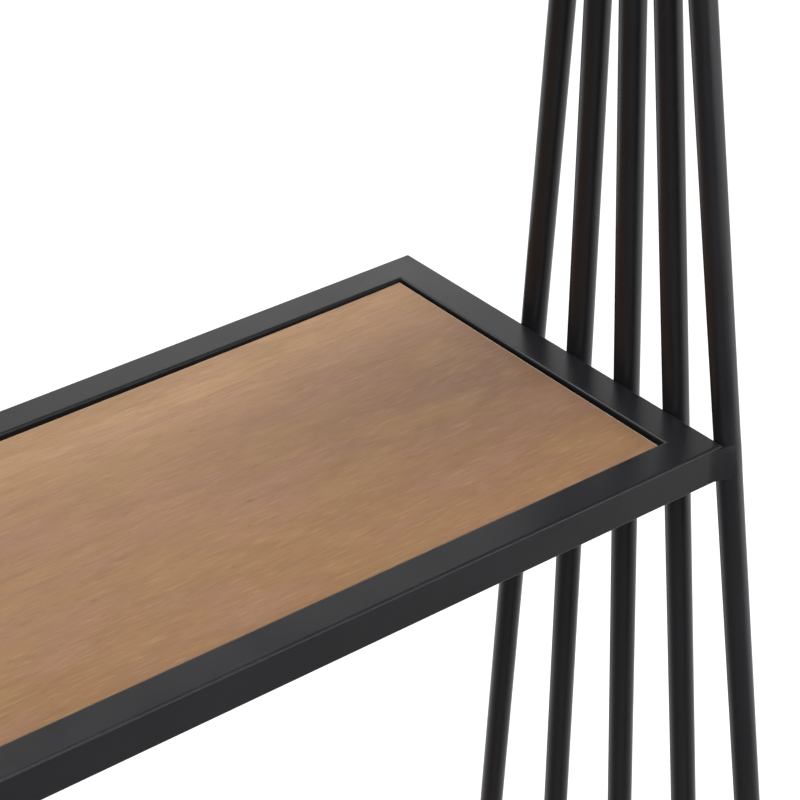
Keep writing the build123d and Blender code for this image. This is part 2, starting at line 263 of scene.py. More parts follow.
def vector_node(tree, operation, vector, other=None):
    node = tree.nodes.new("ShaderNodeVectorMath")
    node.operation = operation
    tree.links.new(vector, node.inputs[0])
    if isinstance(other, bpy.types.NodeSocket):
        tree.links.new(other, node.inputs[1])
    elif other is not None:
        node.inputs[1].default_value = other
    return node


def split_xyz(tree, vector):
    node = tree.nodes.new("ShaderNodeSeparateXYZ")
    tree.links.new(vector, node.inputs["Vector"])
    return node.outputs


def bump(tree, shader, height, distance, strength):
    node = tree.nodes.new("ShaderNodeBump")
    node.inputs["Distance"].default_value = distance
    node.inputs["Strength"].default_value = strength
    tree.links.new(height, node.inputs["Height"])
    tree.links.new(node.outputs["Normal"], shader.inputs["Normal"])


def edge_mask(tree, radius):
    """1 along convex edges, 0 on flat faces: how far a rounded normal turns from the true one."""
    rounded = tree.nodes.new("ShaderNodeBevel")
    rounded.samples = 4
    rounded.inputs["Radius"].default_value = radius
    geometry = tree.nodes.new("ShaderNodeNewGeometry")
    dot = vector_node(tree, "DOT_PRODUCT", rounded.outputs["Normal"], geometry.outputs["Normal"])
    return remap(tree, dot.outputs["Value"], 0.99, 0.85, 0.0, 1.0)


def shade(colour, factor, lift=0.0):
    return tuple(c * factor + lift for c in colour)


# ---------------------------------------------------------------- materials
def powder_coat(name, colour, roughness):
    """Satin powder coat: fine orange peel, cloudy tone, and paler along its edges, partly wear and partly a
    painted edge highlight.
    """
    material, tree, shader = new_material(name)
    cloud = even_noise(tree, 9, detail=4)
    speck = even_noise(tree, 900, detail=1)
    base = ramp(tree, cloud, ((0.3, shade(colour, 0.82)), (0.7, shade(colour, 1.2))))
    base = layer(tree, base, shade(colour, 1.8), speck, (0.55, 0.75), (0.0, 0.35))
    edge_patchiness = remap(tree, even_noise(tree, 60, detail=5), 0.5, 0.7, 0.1, 0.5)
    # Paler edges: partly wear, partly a painted highlight along the edges.
    wear_and_edge_highlight = math_node(tree, "MULTIPLY", edge_mask(tree, 0.8 * MM), edge_patchiness)
    base = mix(tree, wear_and_edge_highlight, base, shade(colour, 2.2, 0.01))
    tree.links.new(base, shader.inputs["Base Color"])
    smudge = even_noise(tree, 25, detail=5, roughness=0.6)
    rough = remap(tree, smudge, 0.3, 0.7, roughness - 0.05, roughness + 0.06)
    tree.links.new(rough, shader.inputs["Roughness"])
    shader.inputs["Specular IOR Level"].default_value = 0.43
    bump(tree, shader, even_noise(tree, 700, detail=2), 0.04 * MM, 0.6)
    return material


def wood_tone_and_sheen(tree, low, high, seed):
    """Colour across the board, wavering along the grain, and darker away from its right end; its paling
    towards the back is partly a painted sheen of the back light.
    """
    coords = tree.nodes.new("ShaderNodeTexCoord")
    place = split_xyz(tree, coords.outputs["Object"])
    waver = noise(tree, (5, 40, 40), detail=3, size=1.0 + seed)
    drift = math_node(tree, "ADD", place["Y"], remap(tree, waver, 0.0, 1.0, -12 * MM, 12 * MM))
    slant = remap(tree, place["X"], high.x, high.x - 300 * MM, 0.0, 6 * MM)
    across = remap(tree, math_node(tree, "ADD", drift, slant), low.y, high.y, 0.0, 1.0)
    base = ramp(tree, across, WOOD_TONE_AND_SHEEN)
    return layer(tree, base, FAR_END, place["X"], (high.x - 180 * MM, high.x - 420 * MM), (0.0, 0.42))


def rod_shadow_patch(tree, low, high, bands):
    """Painted shadow of the rods, darker and cooler: 1 at the middle of the right end, fading along the
    grain.
    """
    coords = tree.nodes.new("ShaderNodeTexCoord")
    centre = (high.x - 5 * MM, (low.y + high.y) / 2 - 4 * MM, high.z)
    reach = (200 * MM, 100 * MM, 1000 * MM)
    offset = vector_node(tree, "SUBTRACT", coords.outputs["Object"], centre)
    stretch = vector_node(tree, "DIVIDE", offset.outputs["Vector"], reach)
    length = vector_node(tree, "LENGTH", stretch.outputs["Vector"])
    patch = remap(tree, length.outputs["Value"], 0.15, 1.0, 1.0, 0.0)
    return math_node(tree, "MULTIPLY", patch, remap(tree, bands, 0.3, 0.7, 1.0, 0.7))


def wood_edges(tree, base):
    """Dark end grain, and a painted highlight along the eased edges except along the front."""
    geometry = tree.nodes.new("ShaderNodeNewGeometry")
    facing = split_xyz(tree, geometry.outputs["Normal"])
    endwise = math_node(tree, "ABSOLUTE", facing["X"], 0)
    base = layer(tree, base, END_GRAIN, endwise, (0.6, 0.9), (0.0, 0.6))
    tilt = split_xyz(tree, geometry.outputs["True Normal"])
    # Painted highlight on the eased edges that face up and back.
    eased = math_node(tree, "MULTIPLY", remap(tree, tilt["Z"], 0.98, 0.94, 0.0, 1.0),
                      remap(tree, tilt["Z"], 0.30, 0.36, 0.0, 0.85))
    eased = math_node(tree, "MULTIPLY", eased, remap(tree, tilt["Y"], -0.3, -0.05, 0.0, 1.0))
    return mix(tree, eased, base, EASED_EDGE_HIGHLIGHT)


def wood(name, node, seed):
    """Mid-brown matt board, grain along X: pale at the back, partly as a painted sheen of the back light,
    ochre at the front, fine fibres.
    """
    material, tree, shader = new_material(name)
    low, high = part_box(node)
    base = wood_tone_and_sheen(tree, low, high, seed)
    bands = noise(tree, (1.1, 22, 22), detail=4, roughness=0.55, distortion=0.4, size=1.0 + seed)
    base = layer(tree, base, BAND, bands, (0.35, 0.65), (0.35, 0.0))
    blush = noise(tree, (3.5, 9, 9), detail=2, size=1.3 + seed)
    base = layer(tree, base, BLUSH, blush, (0.48, 0.7), (0.0, 0.4))
    # Painted shadow of the rods over the board's right end.
    base = mix(tree, rod_shadow_patch(tree, low, high, bands), base, ROD_SHADOW_TONE)
    mottle = noise(tree, (30, 130, 130), detail=5, roughness=0.65, distortion=0.8)
    base = layer(tree, base, MOTTLE, mottle, (0.38, 0.66), (0.34, 0.0))
    hue = noise(tree, (16, 40, 40), detail=3, roughness=0.6)
    base = layer(tree, base, ROSE, hue, (0.46, 0.66), (0.0, 0.40))
    base = layer(tree, base, OCHRE, hue, (0.52, 0.34), (0.0, 0.40))
    fibre = noise(tree, (45, 1500, 1500), detail=3, roughness=0.6)
    base = layer(tree, base, FIBRE, fibre, (0.35, 0.65), (0.0, 0.20))
    streak = noise(tree, (9, 260, 260), detail=4, roughness=0.65, distortion=0.6)
    base = layer(tree, base, STREAK, streak, (0.56, 0.72), (0.0, 0.30))
    fleck = noise(tree, (80, 1500, 1500), detail=2)
    base = layer(tree, base, FLECK, fleck, (0.55, 0.69), (0.0, 0.18))
    pores = remap(tree, noise(tree, (150, 1000, 1000), detail=1, size=1.17), 0.68, 0.76, 0.0, 1.0)
    base = mix(tree, math_node(tree, "MULTIPLY", pores, 0.30), base, PORE)
    tree.links.new(wood_edges(tree, base), shader.inputs["Base Color"])
    rough = remap(tree, fibre, 0.3, 0.7, 0.50, 0.62)
    tree.links.new(rough, shader.inputs["Roughness"])
    shader.inputs["Specular IOR Level"].default_value = 0.22
    bump(tree, shader, math_node(tree, "SUBTRACT", fibre, pores), 0.05 * MM, 0.5)
    return material


def plated_steel(name, colour, roughness):
    """Plated or blackened steel with fine turning marks and a mottled tone."""
    material, tree, shader = new_material(name)
    mottle = even_noise(tree, 220, detail=4)
    base = ramp(tree, mottle, ((0.3, shade(colour, 0.75)), (0.7, colour)))
    tree.links.new(base, shader.inputs["Base Color"])
    shader.inputs["Metallic"].default_value = 1.0
    smudge = even_noise(tree, 400, detail=3)
    rough = remap(tree, smudge, 0.3, 0.7, roughness - 0.08, roughness + 0.1)
    tree.links.new(rough, shader.inputs["Roughness"])
    bump(tree, shader, noise(tree, (300, 300, 5000), detail=2), 0.02 * MM, 0.5)
    return material


def moulded_plastic(name, colour, roughness):
    """Moulded plastic with a fine spark-eroded grain and scuffed edges."""
    material, tree, shader = new_material(name)
    grain = even_noise(tree, 1600, detail=2)
    cloud = even_noise(tree, 80, detail=4)
    base = ramp(tree, cloud, ((0.3, shade(colour, 0.8)), (0.7, shade(colour, 1.25))))
    scuffed = math_node(tree, "MULTIPLY", edge_mask(tree, 0.5 * MM), 0.5)
    base = mix(tree, scuffed, base, shade(colour, 2, 0.01))
    tree.links.new(base, shader.inputs["Base Color"])
    rough = remap(tree, grain, 0.3, 0.7, roughness - 0.06, roughness + 0.06)
    tree.links.new(rough, shader.inputs["Roughness"])
    bump(tree, shader, grain, 0.06 * MM, 0.5)
    return material


MATERIALS = {
    "frame_steel": powder_coat("frame_steel", (0.0071, 0.0069, 0.0084), 0.33),
    "hook_steel": powder_coat("hook_steel", (0.0090, 0.0088, 0.0100), 0.30),
    "wood": wood("wood", "shelf_panel", 0.0),
    "black_plastic": moulded_plastic("black_plastic", (0.02, 0.02, 0.021), 0.55),
    "zinc_steel": plated_steel("zinc_steel", (0.62, 0.62, 0.60), 0.32),
    "dark_screw": plated_steel("dark_screw", (0.05, 0.05, 0.055), 0.38),
}
BENCH_WOOD = wood("bench_wood", "bench_panel", 0.37)


def coat_cad_nodes():
    slots = {part["node"]: part["material_slot"] for part in frame["record"]["subparts"]}
    for name, obj in frame["nodes"].items():
        material = MATERIALS[slots[name]]
        obj.data.materials.clear()
        obj.data.materials.append(material)
        for face in obj.data.polygons:
            face.material_index = 0


# ---------------------------------------------------------------- mesh helpers
class Builder:
    """Collects closed lofts in one vertex and face list."""

    def __init__(self):
        self.verts = []
        self.faces = []

    def loft(self, rings, closed=False):
        start = len(self.verts)
        size = len(rings[0])
        for ring in rings:
            self.verts.extend(ring)
        count = len(rings)
        for i in range(count if closed else count - 1):
            a = start + i * size
            b = start + (i + 1) % count * size
            for j in range(size):
                k = (j + 1) % size
                self.faces.append((a + j, a + k, b + k, b + j))
        if not closed:
            self.faces.append(tuple(start + j for j in reversed(range(size))))
            self.faces.append(tuple(start + (count - 1) * size + j for j in range(size)))


def add_piece(name, build, slot, body="frame", stands_for=(), material=None):
    """Makes one mesh of a builder's lofts, on a body of the frame."""
    mesh = bpy.data.meshes.new(name)
    mesh.from_pydata([tuple(v) for v in build.verts], [], build.faces)
    mesh.update()
    mesh.materials.append(material or MATERIALS[slot])
    for face in mesh.polygons:
        face.use_smooth = True
    obj = bpy.data.objects.new(name, mesh)
    bpy.context.scene.collection.objects.link(obj)
    mesh.set_sharp_from_angle(angle=math.radians(38))
    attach(obj, body)
    if stands_for:
        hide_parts(*stands_for)


# ---------------------------------------------------------------- places read from the frame
def rod_line(node):
    """Foot and head of a rod's axis, and its radius, from its box: outer rods lean inwards."""
    low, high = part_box(node)
    radius = (high.x - low.x) / 2
    x = (low.x + high.x) / 2
    rise = high.z - low.z
    run = (high.y - low.y) - 2 * radius
    reach = radius * math.sqrt(1 + (run / rise) ** 2)
    if int(node.rsplit("_", 1)[1]) <= MIDDLE_ROD:
        foot_y, head_y = high.y - reach, low.y + reach
    else:
        foot_y, head_y = low.y + reach, high.y - reach
    return Vector((x, foot_y, low.z)), Vector((x, head_y, high.z)), radius


def rod_y_at(node, z):
    foot, head, _ = rod_line(node)
    return foot.y + (head.y - foot.y) * (z - foot.z) / (head.z - foot.z)


def islands(node):
    """Boxes of a CAD node's separate pieces, found by joining faces that share a corner."""
    obj = frame["nodes"][node]
    place = obj.matrix_world
    units = 1e5                   # corners are compared in hundredths of a millimetre
    corners = [tuple(round(c * units) for c in place @ v.co) for v in obj.data.vertices]
    root = {corner: corner for corner in corners}

    def find(corner):
        while root[corner] != corner:
            root[corner] = root[root[corner]]
            corner = root[corner]
        return corner

    for face in obj.data.polygons:
        first = find(corners[face.vertices[0]])
        for index in face.vertices[1:]:
            root[find(corners[index])] = first
    groups = {}
    for corner in root:
        groups.setdefault(find(corner), []).append(corner)
    boxes = []
    for group in groups.values():
        low = Vector([min(c[axis] for c in group) / units for axis in range(3)])
        high = Vector([max(c[axis] for c in group) / units for axis in range(3)])
        boxes.append((low, high))
    return sorted(boxes, key=lambda box: tuple(box[0]))


# ---------------------------------------------------------------- weld beads
def ripple(phase, swing, chance):
    """Uneven size of a bead laid by hand."""
    return 1 + swing * math.sin(phase) + chance * RNG.uniform(-1, 1)


def groove_section(radius, ball, way):
    """Weld in the groove between a rod and a flat face: u along the face, v out of it."""
    reach = 2 * math.sqrt(radius * ball)
    points = [(0.0, 0.0), (reach, 0.0)]
    start = -math.pi / 2
    end = math.atan2(radius - ball, -reach)
    steps = 5
    for i in range(1, steps + 1):
        angle = start - (2 * math.pi - end + start) % (2 * math.pi) * i / steps
        points.append((reach + ball * math.cos(angle), ball + ball * math.sin(angle)))
    return [(way * u, v) for u, v in points]


def groove_weld(build, node, low, high, side, way):
    """Fillet up one side of a rod, on the outer face of the rail whose box is given."""
    face_x = high.x if side > 0 else low.x
    _, _, radius = rod_line(node)
    rings = []
    steps = 14
    for i in range(steps + 1):
        z = low.z + GROOVE_INSET + (high.z - low.z - 2 * GROOVE_INSET) * i / steps
        ball = GROOVE_BALL * (1 + 0.22 * math.sin(i * 2.1 + RNG.random()))
        centre = rod_y_at(node, z)
        ring = []
        for u, v in groove_section(radius, ball, way):
            y = max(low.y + GROOVE_END_INSET, min(high.y - GROOVE_END_INSET, centre + u))
            ring.append((face_x + side * v, y, z))
        rings.append(ring)
    build.loft(rings)


def groove_welds():
    """Two small fillets beside each rod where it passes a shelf or bench side rail."""
    build = Builder()
    for node in ROD_NODES:
        side_name = node.split("_")[0]
        side = 1 if side_name == "right" else -1
        for frame_name in FRAMES:
            low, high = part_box(f"{frame_name}_{side_name}_rail")
            for way in (1, -1):
                groove_weld(build, node, low, high, side, way)
    add_piece("side_rail_welds", build, "frame_steel")


def ring_bead(build, centre, radius, up, leg, lean=0.0):
    """Concave fillet all round a rod that ends on a flat face; lean shifts it with height."""
    across = Vector((1, 0, 0))
    along = up.cross(across)
    rings = []
    steps = 40
    for i in range(steps):
        angle = 2 * math.pi * i / steps
        out = across * math.cos(angle) + along * math.sin(angle)
        size = leg * ripple(angle * 11, 0.14, 0.08)
        section = [(size * r, size * h) for r, h in RING_SECTION]
        ring = []
        for r, h in ((-WELD_ROOT, 0.0), *section, (-WELD_ROOT, size)):
            shift = Vector((0, lean * h, 0))
            ring.append(centre + out * (radius + r) + up * h + shift)
        rings.append(ring)
    build.loft(rings, closed=True)


def end_welds():
    """A bead round each rod's foot and head."""
    build = Builder()
    for node in ROD_NODES:
        foot, head, radius = rod_line(node)
        slope = (head.y - foot.y) / (head.z - foot.z)
        ring_bead(build, foot, radius, UP, ROD_FOOT_LEG, slope)
        ring_bead(build, head, radius, DOWN, ROD_HEAD_LEG, -slope)
    add_piece("rod_end_welds", build, "frame_steel")


def prong_welds():
    """A bead where each prong of a coat hook leaves its plate."""
    build = Builder()
    plate_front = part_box("hook_screws")[0].y + HEAD_HIGH
    for node in HOOK_NODES:
        low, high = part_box(node)
        for rise in PRONG_RISES:
            centre = Vector(((low.x + high.x) / 2, plate_front, low.z + rise))
            ring_bead(build, centre, PRONG_RADIUS, FORWARD, PRONG_LEG)
    add_piece("prong_welds", build, "hook_steel")


def straight_bead(build, start, end, face_a, face_b, leg):
    """Concave fillet from start to end, in the corner of two faces that run along face_a, face_b."""
    rings = []
    steps = 12
    for i in range(steps + 1):
        point = start.lerp(end, i / steps)
        size = leg * ripple(i * 1.9, 0.12, 0.06)
        if i in (0, steps):
            size *= BEAD_END
        rings.append([point + face_a * (size * a) + face_b * (size * b) for a, b in STRAIGHT_SECTION])
    build.loft(rings)


def bead_along_x(build, x0, x1, y, z, way, leg):
    """Bead under a face at z, beside an upright face at y; way is the side it lies on."""
    start, end = Vector((x0 + BEAD_INSET, y, z)), Vector((x1 - BEAD_INSET, y, z))
    straight_bead(build, start, end, Vector((0, way, 0)), DOWN, leg)


def bead_along_y(build, y0, y1, x, z, way, leg):
    """The same along Y, beside an upright face at x."""
    start, end = Vector((x, y0 + BEAD_INSET, z)), Vector((x, y1 - BEAD_INSET, z))
    straight_bead(build, start, end, Vector((way, 0, 0)), DOWN, leg)


def cleat_weld(build, low, high, middle):
    """Bead under a cleat, along the rail that carries it: the side farthest from the panel's middle."""
    if high.x - low.x > high.y - low.y:
        back = low.y > middle.y
        bead_along_x(build, low.x, high.x, high.y if back else low.y, low.z, -1 if back else 1, CLEAT_LEG)
    else:
        right = low.x > middle.x
        bead_along_y(build, low.y, high.y, high.x if right else low.x, low.z, -1 if right else 1, CLEAT_LEG)


def crossbar_welds(build):
    """Beads up the front and back of the crossbar's ends, and under them."""
    low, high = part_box("top_crossbar")
    z_low, z_high = low.z + CROSSBAR_INSET, high.z - CROSSBAR_INSET
    y_low, y_high = low.y + CROSSBAR_INSET, high.y - CROSSBAR_INSET
    for x, way in ((low.x, 1), (high.x, -1)):
        inwards = Vector((way, 0, 0))
        for y, out in ((low.y, -1), (high.y, 1)):
            start, end = Vector((x, y, z_low)), Vector((x, y, z_high))
            straight_bead(build, start, end, inwards, Vector((0, out, 0)), CROSSBAR_LEG)
        start, end = Vector((x, y_low, low.z)), Vector((x, y_high, low.z))
        straight_bead(build, start, end, inwards, DOWN, CROSSBAR_LEG)


def plate_welds():
    """Beads that hold the straps, anchor tabs, support bars, cleats and crossbar to their rails."""
    build = Builder()
    rail_low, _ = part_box("shelf_back_rail")
    for low, high in islands("hook_bar_straps"):
        bead_along_x(build, low.x, high.x, high.y, rail_low.z, 1, STRAP_LEG)
    for low, high in islands("wall_anchor_tabs"):
        bead_along_x(build, low.x, high.x, low.y, rail_low.z, -1, STRAP_LEG)
    for side in ("left", "right"):
        low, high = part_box(f"bench_support_bar_{side}")
        for y, way in ((low.y, 1), (high.y, -1)):
            bead_along_x(build, low.x, high.x, y, low.z, way, CLEAT_LEG)
    for frame_name in FRAMES:
        panel_low, panel_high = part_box(f"{frame_name}_panel")
        for low, high in islands(f"{frame_name}_panel_cleats"):
            cleat_weld(build, low, high, (panel_low + panel_high) / 2)
    crossbar_welds(build)
    add_piece("plate_welds", build, "frame_steel")


class CornerWeld:
    """Weld dressed smooth: it carries a rail's end face round the front of an outermost rod.

    side is 1 on the right and -1 on the left; end is -1 at the front and 1 at the back.
    """

    def __init__(self, frame_name, side_name, end):
        low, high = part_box(f"{frame_name}_{side_name}_rail")
        self.side = 1 if side_name == "right" else -1
        self.end = end
        self.node = f"{side_name}_rod_{FRONT_ROD if end < 0 else REAR_ROD}"
        self.radius = rod_line(self.node)[2]
        self.face_x = high.x if self.side > 0 else low.x
        self.face_y = low.y if end < 0 else high.y
        self.z_span = low.z, high.z

    def outline(self, centre, skin, turn):
        """Point of the plan outline: straight from the rail's face, then round the rod."""
        reach = self.radius + skin
        middle_x = self.face_x + self.side * self.radius

        def on_rod(angle):
            return (middle_x + self.side * reach * math.cos(angle),
                    centre + self.end * reach * math.sin(angle))

        if turn >= CORNER_STRAIGHT:
            share = (turn - CORNER_STRAIGHT) / (1 - CORNER_STRAIGHT)
            return on_rod(CORNER_MEET + (CORNER_END - CORNER_MEET) * share)
        start_x = self.face_x - self.side * CORNER_START
        start_y = self.face_y + self.end * min(skin, 0.0)
        meet_x, meet_y = on_rod(CORNER_MEET)
        share = turn / CORNER_STRAIGHT
        ease = share * share * (2 - share)
        return start_x + (meet_x - start_x) * share, start_y + (meet_y - start_y) * ease

    def ring(self, turn):
        """Upright section; turn runs from the rail's face (0) round the rod (1)."""
        rise_from, rise_to = CORNER_LIP_SPAN
        lift = CORNER_LIP * max(0.0, min(1.0, (turn - rise_from) / (rise_to - rise_from))) ** 2
        z_low = self.z_span[0] + CORNER_INSET
        z_high = self.z_span[1] - CORNER_INSET + lift
        skin = CORNER_SKIN * (1 - CORNER_THINNING * turn)
        levels = 8
        outer, inner = [], []
        for i in range(levels + 1):
            z = z_low + (z_high - z_low) * i / levels
            centre = rod_y_at(self.node, z)
            ease = min(1.0, min(i, levels - i) / CORNER_FADE)
            outer.append((*self.outline(centre, skin * ease, turn), z))
            inner.append((*self.outline(centre, -CORNER_ROOT, turn), z))
        return outer + inner[::-1]


def corner_welds():
    """Dressed welds at the shelf's front corners and at all four of the bench's."""
    build = Builder()
    steps = 24
    for side_name in ("right", "left"):
        for frame_name, ends in (("shelf", (-1,)), ("bench", (-1, 1))):
            for end in ends:
                weld = CornerWeld(frame_name, side_name, end)
                build.loft([weld.ring(i / steps) for i in range(steps + 1)])
    add_piece("flush_corner_welds", build, "frame_steel")


# ---------------------------------------------------------------- screws
def hexagon_reach(angle, half_flat):
    """Distance from the middle of a hexagon to its side in the given direction."""
    sector = math.pi / 3
    return half_flat / math.cos((angle + sector / 2) % sector - sector / 2)


def turned(build, base, axis, levels, count):
    """Loft along an axis; each level is a height and a radius, or a radius for each angle."""
    across = Vector((1, 0, 0)) if abs(axis.x) < 0.5 else Vector((0, 1, 0))
    beside = axis.cross(across)
    rings = []
    for height, radius in levels:
        ring = []
        for j in range(count):
            angle = 2 * math.pi * j / count
            reach = radius(angle) if callable(radius) else radius
            ring.append(base + axis * height + (across * math.cos(angle) + beside * math.sin(angle)) * reach)
        rings.append(ring)
    build.loft(rings)


def dome(low, high, rim, flat):
    """Levels of a rounded shoulder, from a rim at the low height to a flat at the high one."""
    levels = []
    for i in range(1, DOME_STEPS + 1):
        turn = math.pi / 2 * i / DOME_STEPS
        levels.append((low + (high - low) * math.sin(turn), flat + (rim - flat) * math.cos(turn)))
    return levels


def hook_screw_heads():
    """Button-head screws with a hexagon socket; the shank runs through to the back of the bar."""
    def mouth(angle):
        return hexagon_reach(angle, SOCKET_HALF + SOCKET_BEVEL)

    def socket(angle):
        return hexagon_reach(angle, SOCKET_HALF)

    build = Builder()
    for low, high in islands("hook_screws"):
        base = Vector(((low.x + high.x) / 2, low.y + HEAD_HIGH, (low.z + high.z) / 2))
        rim = (high.x - low.x) / 2
        tip = base.y - high.y
        levels = [(tip, BOLT_RADIUS - 0.3 * MM), (tip + 0.3 * MM, BOLT_RADIUS), (0.0, BOLT_RADIUS),
                  (0.0, rim - 0.1 * MM), (0.15 * MM, rim), (HEAD_SIDE, rim)]
        levels += dome(HEAD_SIDE, HEAD_HIGH, rim, HEAD_FLAT)
        levels += [(HEAD_HIGH, mouth), (HEAD_HIGH - SOCKET_BEVEL, socket), (HEAD_HIGH - SOCKET_DEEP, socket)]
        turned(build, base, FORWARD, levels, 36)
    add_piece("hook_screw_details", build, "dark_screw", stands_for=("hook_screws",))


def cross_reach(arm, core):
    """Outline of a cross recess: long in four directions, short between them."""
    def reach(angle):
        spread = abs((angle + math.pi / 4) % (math.pi / 2) - math.pi / 4)
        return arm if spread < CROSS_SPREAD else core
    return reach


def panel_screw_heads(frame_name):
    """Pan-head wood screws with a cross recess, seen from under the panel."""
    build = Builder()
    node = f"{frame_name}_panel_screws"
    for low, high in islands(node):
        base = Vector(((low.x + high.x) / 2, (low.y + high.y) / 2, low.z + PAN_HIGH))
        rim = (high.x - low.x) / 2
        tip = base.z - high.z
        levels = [(tip, 0.5 * MM), (tip + WOOD_POINT, WOOD_ROOT + 0.1 * MM)]
        turns = int((-tip - WOOD_POINT) / WOOD_PITCH)
        for i in range(turns * 2):
            radius = WOOD_CREST if i % 2 == 0 else WOOD_ROOT
            levels.append((tip + WOOD_POINT + WOOD_PITCH / 2 * (i + 1), radius))
        levels += [(-0.1 * MM, WOOD_ROOT + 0.2 * MM), (0.0, rim - 0.15 * MM),
                   (0.15 * MM, rim), (PAN_SIDE, rim)]
        levels += dome(PAN_SIDE, PAN_HIGH, rim, PAN_FLAT)
        levels += [(PAN_HIGH, cross_reach(*CROSS_MOUTH)), (PAN_HIGH - CROSS_DEEP, cross_reach(*CROSS_FLOOR))]
        turned(build, base, DOWN, levels, 48)
    add_piece(f"{frame_name}_screw_details", build, "zinc_steel", stands_for=(node,))


# ---------------------------------------------------------------- levelling feet
def thread_radius(height, radius, pitch, depth):
    """Ridge of a screw thread at a height, as a function of the angle."""
    def reach(angle):
        phase = (height / pitch - angle / (2 * math.pi)) % 1.0
        ridge = min(1.0, max(0.0, 2.2 * abs(phase - 0.5) - 0.05))
        return radius - depth * ridge
    return reach


def collar_reach(half_flat, trim):
    """Hexagon whose corners are turned down to a circle."""
    limit = half_flat / math.cos(math.pi / 6) - trim - 0.15 * MM
    return lambda angle: min(hexagon_reach(angle, half_flat - trim * 0.2), limit)


def fluted(rim, depth):
    """Round side with shallow upright flutes."""
    return lambda angle: rim - depth * max(0.0, math.cos(angle * FLUTES))


def foot_axis(place):
    low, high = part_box(f"foot_pad_{place}")
    return Vector(((low.x + high.x) / 2, (low.y + high.y) / 2, 0))


def foot_stud(place):
    """Threaded stud with a hexagon collar that stands on the pad."""
    low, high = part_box(f"foot_stud_{place}")
    collar_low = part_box(f"foot_pad_{place}")[1].z
    collar_high = collar_low + COLLAR_HIGH
    half_flat = min(high.x - low.x, high.y - low.y) / 2
    levels = [(low.z, STUD_RADIUS - 0.3 * MM), (low.z + 0.3 * MM, STUD_RADIUS), (collar_low, STUD_RADIUS)]
    for height, trim in ((collar_low, 0.4 * MM), (collar_low + 0.4 * MM, 0.0),
                         (collar_high - 0.5 * MM, 0.0), (collar_high, 0.5 * MM)):
        levels.append((height, collar_reach(half_flat, trim)))
    levels.append((collar_high, STUD_RADIUS - 0.7 * MM))
    rise = STUD_PITCH / STEPS_A_TURN
    count = int((high.z - collar_high - 1.6 * MM) / rise)
    for i in range(count + 1):
        height = collar_high + 0.8 * MM + i * rise
        levels.append((height, thread_radius(height, STUD_RADIUS, STUD_PITCH, STUD_THREAD)))
    levels += [(high.z - 0.5 * MM, STUD_RADIUS - 0.6 * MM), (high.z, STUD_RADIUS - 1.2 * MM)]
    build = Builder()
    turned(build, foot_axis(place), UP, levels, 36)
    add_piece(f"stud_{place}", build, "zinc_steel", body=f"foot_{place}",
              stands_for=(f"foot_stud_{place}",))


def foot_pad(place):
    """Pad with grip flutes round its side, a rounded shoulder and a shallow well round the stud."""
    low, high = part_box(f"foot_pad_{place}")
    rim = (high.x - low.x) / 2
    top = high.z
    grip = fluted(rim, FLUTE_DEEP)
    levels = [(0.0, rim - 0.8 * MM), (0.15 * MM, rim - 0.45 * MM), (0.8 * MM, rim), (1.4 * MM, rim),
              (1.8 * MM, grip), (top - 2.8 * MM, grip), (top - 2.3 * MM, rim - 0.1 * MM)]
    levels += dome(top - PAD_DOME, top, rim - 0.2 * MM, rim - 0.2 * MM - PAD_DOME)
    levels += [(top, STUD_RADIUS + 1.6 * MM), (top - 0.5 * MM, STUD_RADIUS + 1.2 * MM),
               (top - 0.5 * MM, STUD_RADIUS - 0.3 * MM)]
    build = Builder()
    turned(build, foot_axis(place), UP, levels, 96)
    add_piece(f"pad_{place}", build, "black_plastic", body=f"foot_{place}",
              stands_for=(f"foot_pad_{place}",))


# ---------------------------------------------------------------- boards
def board(node, name, material, hollow, end_slack):
    """Wood board with eased edges in place of the plain panel.

    Its back edge is cut slightly hollow and its ends slightly out of square.
    """
    low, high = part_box(node)
    thick = high.z - low.z
    nick = BOARD_EASE * 0.3
    cuts_x, cuts_y = BOARD_CUTS
    rings = []
    for inset, rise in ((BOARD_EASE, 0.0), (nick, nick), (0.0, BOARD_EASE),
                        (0.0, thick - BOARD_EASE), (nick, thick - nick), (BOARD_EASE, thick)):
        x0, x1 = low.x + inset, high.x - inset
        y0, y1 = low.y + inset, high.y - inset
        front = [(x0 + (x1 - x0) * i / cuts_x, y0) for i in range(cuts_x)]
        right = [(x1, y0 + (y1 - y0) * i / cuts_y) for i in range(cuts_y)]
        back = [(x1 - (x1 - x0) * i / cuts_x, y1 - hollow * math.sin(math.pi * i / cuts_x) ** HOLLOW_POWER)
                for i in range(cuts_x)]
        left = [(x0, y1 - (y1 - y0) * i / cuts_y) for i in range(cuts_y)]
        rings.append([(drawn_in(x, y, low, high, end_slack), y, low.z + rise)
                      for x, y in front + right + back + left])
    build = Builder()
    build.loft(rings)
    add_piece(name, build, "wood", stands_for=(node,), material=material)


def drawn_in(x, y, low, high, end_slack):
    """Draws the board's ends in, by one slack at the back and another at the front."""
    middle = (low.x + high.x) / 2
    back_slack, front_slack = end_slack
    forward = (high.y - y) / (high.y - low.y)
    slack = back_slack + (front_slack - back_slack) * forward
    return middle + (x - middle) * (1 - slack / (high.x - middle))


